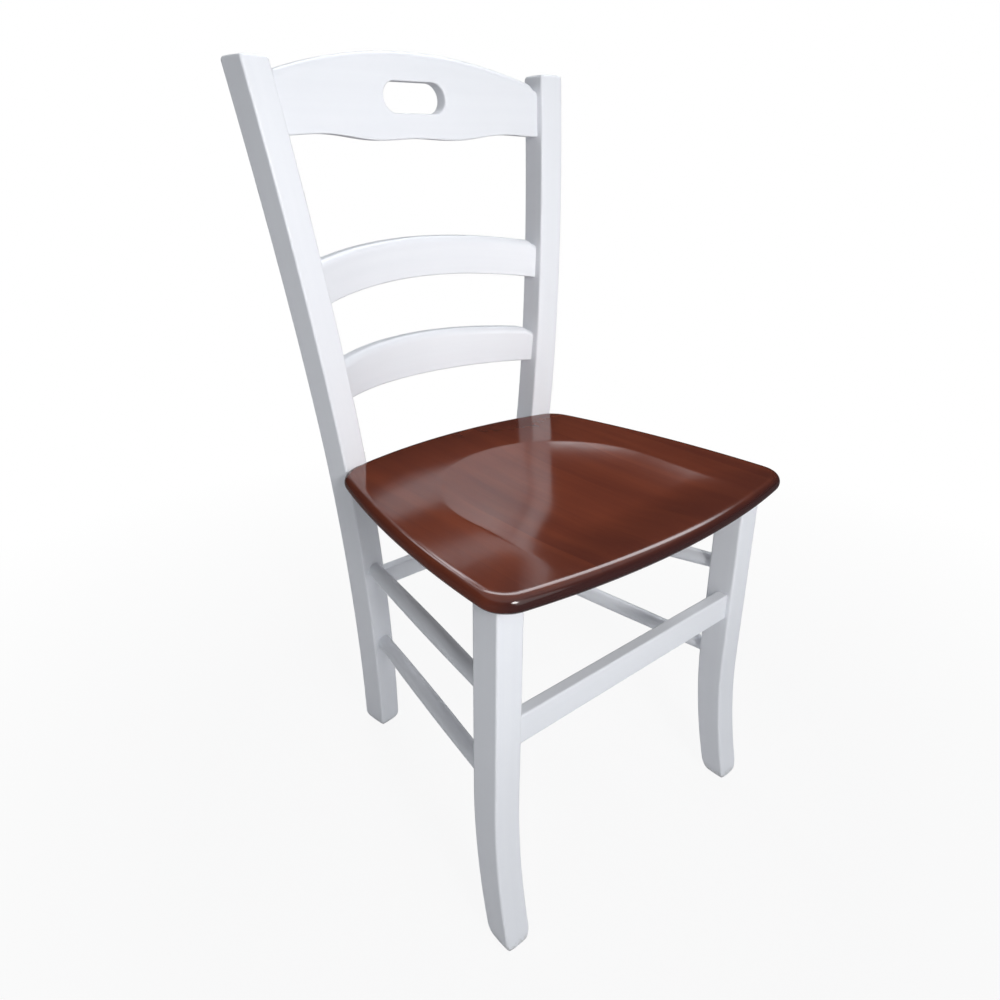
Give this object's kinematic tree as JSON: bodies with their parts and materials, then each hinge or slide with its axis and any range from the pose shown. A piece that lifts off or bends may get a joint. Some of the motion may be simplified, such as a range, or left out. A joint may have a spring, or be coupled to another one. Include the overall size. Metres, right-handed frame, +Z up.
{
  "type": "painted wooden chair",
  "caption": "Side chair with a white painted wooden frame, a bowed ladder back with a hand slot in its crest rail, and a dished brown varnished seat.",
  "frame": {"origin": "on the floor, at the middle of the chair's width and of its depth", "axes": "+Z up, +Y from the seat's front edge towards the back, +X to the chair's right as seen from the front, which is the sitter's left"},
  "size_m": [0.4484, 0.4632, 0.9],
  "materials": {
    "white_lacquer": "smooth white lacquer over wood, low sheen, softened arrises",
    "brown_varnish": "glossy red-brown varnish over wood",
    "bare_beech": "bare turned beech"
  },
  "bodies": {
    "root": {"seat_panel": "brown_varnish", "left_front_leg": "white_lacquer", "right_front_leg": "white_lacquer", "left_back_post": "white_lacquer", "right_back_post": "white_lacquer", "crest_rail": "white_lacquer", "upper_back_slat": "white_lacquer", "lower_back_slat": "white_lacquer", "front_stretcher": "white_lacquer", "rear_stretcher": "white_lacquer", "left_upper_stretcher": "white_lacquer", "right_upper_stretcher": "white_lacquer", "left_lower_stretcher": "white_lacquer", "right_lower_stretcher": "white_lacquer", "crest_dowels": "bare_beech", "upper_slat_dowels": "bare_beech", "lower_slat_dowels": "bare_beech", "front_stretcher_dowels": "bare_beech", "rear_stretcher_dowels": "bare_beech", "leg_dowels": "bare_beech", "seat_dowels": "bare_beech"}
  },
  "joints": []
}
